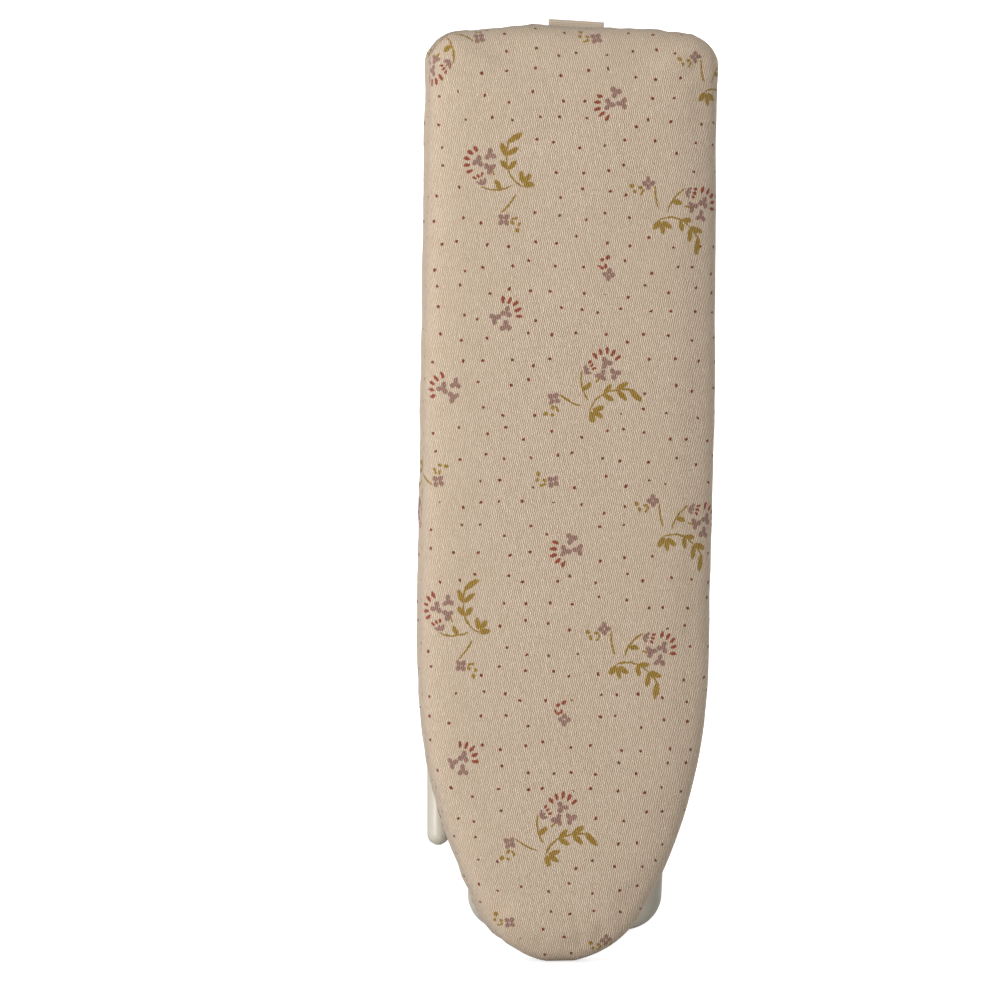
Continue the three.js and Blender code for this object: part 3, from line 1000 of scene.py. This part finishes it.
def printed_cotton():
    """Twill cotton with sprigs and dots, their ink thinner on the ridges, darkened by painted shade
    in the valleys and lightened by a painted highlight on the ridges.
    """
    graph = Graph("printed_cotton", 0.86, Sheen_Weight=0.15, Sheen_Roughness=0.45,
                  Specular_IOR_Level=0.25)
    where = graph.cloth_place()
    height, chance = twill(graph, where)
    fibre = graph.noise(where, 5.5, 2.0, 0.6)
    weave = graph.total((height, 0.75), (fibre, 0.3), (chance, 0.12))
    worn = graph.shift(weave, 0.1, 0.6, 1.0, 0.9)
    colour = cotton_ground(graph, weave, where)
    for shape, ink in print_layers(graph, where):
        inside = graph.shift(shape, 1.12, 0.86, 0.0, 1.0)
        # Painted shade and highlight: each ink is darkened in the weave's valleys and lightened on
        # its ridges.
        shade = graph.mix(weave, scaled(ink, 0.35), scaled(ink, 1.9))
        colour = graph.mix(graph.math("MULTIPLY", inside, worn), colour, shade)
    relief = graph.total((height, 1.0), (fibre, 0.3), (chance, 0.15))
    return graph.finish(colour, relief, 0.12)


def plain_cotton(name, light, dark):
    """The cover's cotton where it is gathered, without print, with painted shade between the weave's
    ridges.
    """
    graph = Graph(name, 0.88, Sheen_Weight=0.2, Sheen_Roughness=0.45, Specular_IOR_Level=0.25)
    where = graph.object_place()
    x, _, z = graph.node("SeparateXYZ", {0: where}).outputs
    height, _ = twill(graph, graph.node("CombineXYZ", {0: x, 1: z}).outputs[0])
    fibre = graph.noise(where, 5.0, 2.0, 0.6)
    weave = graph.total((height, 0.7), (fibre, 0.5))
    # Painted shade: dark in the weave's valleys, light on its ridges; the blotches below are random
    # tone.
    colour = graph.mix(weave, dark, light)
    blotch = graph.noise(where, 0.4, 2.0)
    colour = graph.mix(graph.shift(blotch, 0.35, 0.7, 0.0, 0.25), colour, dark)
    return graph.finish(colour, weave, 0.06)


def ribbon_weave():
    """Fine ribs across the ribbon, with a plainer strip down each edge, and painted shade between
    the ribs and threads.
    """
    graph = Graph("woven_ribbon", 0.7, Sheen_Weight=0.3, Sheen_Roughness=0.4)
    where = graph.cloth_place()
    x, way = graph.node("SeparateXYZ", {0: where}).outputs[:2]
    rib_pitch, thread_pitch, edge = 0.34, 0.22, 0.45
    ribs = graph.wave(graph.math("DIVIDE", way, rib_pitch))
    threads = graph.wave(graph.math("DIVIDE", x, thread_pitch))
    side = graph.math("GREATER_THAN", graph.math("ABSOLUTE", x), RIBBON_WIDTH / 2 - edge)
    fibre = graph.noise(where, 4.0, 2.0)
    weave = graph.total((ribs, 0.45), (threads, 0.35), (fibre, 0.4))
    # Painted shade: darker between the ribs and threads, lighter on them, with random tone from the
    # fibre noise.
    colour = graph.mix(weave, srgb(166, 146, 124), srgb(226, 212, 193))
    colour = graph.mix(graph.math("MULTIPLY", side, 0.4), colour, srgb(205, 190, 170))
    return graph.finish(colour, weave, 0.05)


def leg_paint():
    """Off-white powder coat with a soft orange peel, darker and duller in patches, and specks."""
    graph = Graph("leg_paint", 0.42, Coat_Weight=0.15, Coat_Roughness=0.3)
    where = graph.object_place()
    peel = graph.noise(where, 1.5, 2.0, 0.55)
    patch = graph.noise(where, 0.12, 3.0, 0.6)
    colour = graph.mix(graph.shift(patch, 0.35, 0.7, 0.0, 1.0),
                       srgb(205, 200, 187), srgb(195, 189, 175))
    dirt = graph.math("LESS_THAN", graph.cells(where, 0.45), 0.07)
    colour = graph.mix(graph.math("MULTIPLY", dirt, 0.35), colour, srgb(150, 138, 118))
    roughness = graph.shift(patch, 0.3, 0.7, 0.36, 0.52)
    return graph.finish(colour, peel, 0.05, roughness)


def metal(name, colour, dull, roughness, grain, direction):
    """Steel with a fine grain drawn out along one direction and a cloudy finish."""
    graph = Graph(name, roughness, Metallic=1.0)
    where = graph.object_place()
    lines = graph.noise(graph.stretched(where, direction), grain, 3.0, 0.65)
    cloud = graph.noise(where, 0.35, 3.0, 0.6)
    mottle = graph.cells(where, 0.9, output="Color")
    mottle = graph.vector("DOT_PRODUCT", mottle, (0.33, 0.33, 0.33))
    tone = graph.mix(graph.total((cloud, 0.7), (mottle, 0.4)), colour, dull)
    rough = graph.shift(cloud, 0.3, 0.7, roughness - 0.12, roughness + 0.06)
    rough = graph.math("MULTIPLY_ADD", lines, 0.2, rough)
    return graph.finish(tone, lines, 0.012, rough)


def fibreboard():
    """Pressed brown hardboard with short pale and dark fibres."""
    graph = Graph("panel_fibreboard", 0.72, Specular_IOR_Level=0.35)
    where = graph.object_place()
    fibres = [graph.noise(graph.stretched(where, (0.35, 1, 2.6), turn), 1.6, 2.0, 0.6)
              for turn in (12, 74, 131)]
    mixed = graph.math("MAXIMUM", graph.math("MAXIMUM", fibres[0], fibres[1]), fibres[2])
    cloud = graph.noise(where, 0.12, 3.0)
    chips = graph.noise(where, 3.4, 2.0, 0.7)
    colour = graph.mix(graph.shift(mixed, 0.45, 0.75, 0, 1), srgb(126, 96, 66), srgb(186, 153, 112))
    colour = graph.mix(graph.shift(cloud, 0.35, 0.7, 0, 0.5), colour, srgb(141, 110, 78))
    colour = graph.mix(graph.shift(chips, 0.62, 0.72, 0, 0.6), colour, srgb(92, 68, 46))
    return graph.finish(colour, graph.math("ADD", mixed, chips), 0.05)


def foam_cells():
    """Open-cell foam: rounded pits of two sizes, with painted shade inside the pits."""
    graph = Graph("foam", 0.95, Subsurface_Weight=0.1)
    where = graph.object_place()
    pits = graph.math("MINIMUM", graph.cells(where, 2.2), graph.cells(where, 4.6))
    # Painted shade: the colour is darker towards the middle of each pit.
    colour = graph.mix(graph.shift(pits, 0.0, 0.5, 0, 1), srgb(204, 194, 170), srgb(238, 231, 214))
    return graph.finish(colour, pits, 0.15)


def thread():
    """Twisted sewing thread, with painted shade in the grooves of its twist."""
    graph = Graph("thread", 0.6, Sheen_Weight=0.3)
    where = graph.object_place()
    twist = graph.wave(graph.vector("DOT_PRODUCT", where, (2.6, 3.2, 2.6)))
    fibre = graph.noise(where, 8.0)
    share = graph.total((twist, 0.6), (fibre, 0.4))
    # Painted shade: darker in the twist's grooves, lighter on its crests, with random tone from the
    # fibre noise.
    return graph.finish(graph.mix(share, srgb(198, 178, 155), srgb(236, 222, 202)), twist, 0.04)


# ---- Assembly ----

def dress(piece, material, body, slot, *nodes):
    """Gives a piece its material and its body, and hides the CAD nodes that it stands for. The slot
    argument is not used.
    """
    piece.data.materials.clear()
    piece.data.materials.append(material)
    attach(piece, body)
    if nodes:
        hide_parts(*nodes)
    return piece


def build_board():
    cover = dress(make_cover(), printed_cotton(), "board", "printed_cotton", "cover")
    foam = dress(make_foam(), foam_cells(), "board", "foam", "foam_pad")
    hem_cloth = plain_cotton("hem_cotton", srgb(222, 204, 184), srgb(176, 153, 130))
    dress(make_hem(), hem_cloth, "board", "hem_cotton", "hem_elastic")
    dress(make_stitches(), thread(), "board", "hem_cotton")
    tag, way = make_tag()
    dress(tag, ribbon_weave(), "board", "ribbon", "ribbon_tag")
    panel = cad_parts["board_panel"]
    panel.data.materials.clear()
    panel.data.materials.append(fibreboard())


def build_steel():
    zinc = metal("zinc_steel", srgb(205, 206, 202), srgb(165, 167, 163), 0.36, 2.2, (0.3, 1, 1))
    for node in ("hinge_bracket", "slide_rail"):
        for side in ("left", "right"):
            name = f"{node}_{side}"
            dress(refined("folded_" + name, name, 0.16), zinc, "board", "zinc_steel", name)
    screw_steel = metal("screw_steel", srgb(212, 210, 202), srgb(160, 156, 146), 0.3, 3.0, (1, 1, 1))
    for name in sorted(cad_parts):
        if "screw" in name:
            dress(make_screw("threaded_" + name, name), screw_steel, "board", "screw_steel", name)
    pins = metal("pin_steel", srgb(214, 213, 208), srgb(176, 175, 170), 0.26, 3.0, (0.2, 1, 1))
    for name, body in (("hinge_pin", "hinged_leg"), ("slide_rod", "sliding_leg")):
        dress(make_pin("turned_" + name, name), pins, body, "pin_steel", name)
    for side in ("left", "right"):
        rivet, spacer = f"pivot_rivet_{side}", f"pivot_spacer_{side}"
        dress(make_rivet("domed_" + rivet, rivet), pins, "hinged_leg", "pin_steel", rivet)
        dress(make_spacer("turned_" + spacer, spacer), pins, "hinged_leg", "pin_steel", spacer)


def build_legs():
    paint = leg_paint()
    hinged = make_leg("hinged_frame", "hinged_leg", -REST_ANGLE)
    dress(hinged, paint, "hinged_leg", "leg_paint", "hinged_leg")
    sliding = make_leg("sliding_frame", "sliding_leg", math.pi + REST_ANGLE)
    dress(sliding, paint, "sliding_leg", "leg_paint", "sliding_leg")


# ---- Studio ----

def stage_material():
    """White paper that glows for the camera only, so that the glow doesn't light the object."""
    glow = 0.75
    graph = Graph("studio_paper", 0.9, Specular_IOR_Level=0.1)
    grain = graph.noise(graph.object_place(), 0.02, 2.0)
    seen = graph.node("LightPath", {}).outputs["Is Camera Ray"]
    graph.feed(graph.shader.inputs["Emission Strength"], graph.math("MULTIPLY", seen, glow))
    graph.shader.inputs["Emission Color"].default_value = (1, 1, 1, 1)
    return graph.finish(graph.mix(grain, (0.55, 0.55, 0.55, 1), (0.6, 0.6, 0.6, 1)))


def build_studio():
    """A pale floor that curves up into a backdrop."""
    half, near, back, bend, top = 3000.0, -3000.0, 900.0, 500.0, 3000.0
    profile = [(near, 0.0), (0.0, 0.0)]
    for angle in quarter_turn(16):
        profile.append((back + bend * math.sin(angle), bend * (1 - math.cos(angle))))
    profile.append((back + bend, top))
    vertices = [(x, y, z) for y, z in profile for x in (-half, half)]
    faces = [(2 * i, 2 * i + 1, 2 * i + 3, 2 * i + 2) for i in range(len(profile) - 1)]
    paper = new_object("studio_paper", vertices, faces)
    paper.data.materials.append(stage_material())


def area_light(name, where, target, size, power, colour=(1, 1, 1)):
    data = bpy.data.lights.new(name, "AREA")
    data.shape = "RECTANGLE"
    data.size, data.size_y = size
    data.energy = power
    data.color = colour
    lamp = linked(name, data)
    lamp.location = where
    lamp.rotation_euler = (Vector(target) - Vector(where)).to_track_quat("-Z", "Y").to_euler()


def build_lights():
    middle = (0, 0, 0.085)
    area_light("key", (-0.46, -0.52, 0.19), middle, (0.3, 0.4), 3.75, (1.0, 0.985, 0.97))
    area_light("fill", (0.5, 0.4, 0.2), middle, (0.5, 0.5), 2.2, (1.0, 0.98, 0.94))
    area_light("paper_light", (0.0, 0.3, 0.7), (0, 1.4, 0.5), (1.6, 0.4), 14)
    world = bpy.data.worlds.new("studio")
    world.use_nodes = True
    background = world.node_tree.nodes["Background"]
    background.inputs["Color"].default_value = (1, 1, 1, 1)
    # The world is white to the camera and dimmer as a light.
    as_light, to_camera = 0.46, 1.0
    seen = world.node_tree.nodes.new("ShaderNodeLightPath").outputs["Is Camera Ray"]
    strength = world.node_tree.nodes.new("ShaderNodeMapRange")
    world.node_tree.links.new(seen, strength.inputs["Value"])
    strength.inputs["To Min"].default_value = as_light
    strength.inputs["To Max"].default_value = to_camera
    world.node_tree.links.new(strength.outputs[0], background.inputs["Strength"])
    bpy.context.scene.world = world


def build_camera():
    azimuth, elevation = math.radians(-5), math.radians(3)
    distance, aside, height = 0.95, -0.0124, 0.0838
    lean, lens, sensor = math.radians(0.86), 190.6, 36
    target = Vector((aside, COVER_FRONT * MM, height))
    back = Vector((math.sin(azimuth) * math.cos(elevation),
                   -math.cos(azimuth) * math.cos(elevation), math.sin(elevation)))
    data = bpy.data.cameras.new("camera")
    data.lens = lens
    data.sensor_width = sensor
    camera = linked("camera", data)
    camera.location = target + back * distance
    aim = (-back).to_track_quat("-Z", "Y").to_matrix().to_4x4()
    roll = Matrix.Rotation(lean, 4, "Z")
    camera.matrix_world = Matrix.Translation(camera.location) @ aim @ roll
    bpy.context.scene.camera = camera


build_board()
build_steel()
build_legs()
build_studio()
build_lights()
build_camera()
bpy.context.scene.view_settings.view_transform = "Standard"
bpy.context.scene.frame_set(1)
bpy.context.view_layer.update()
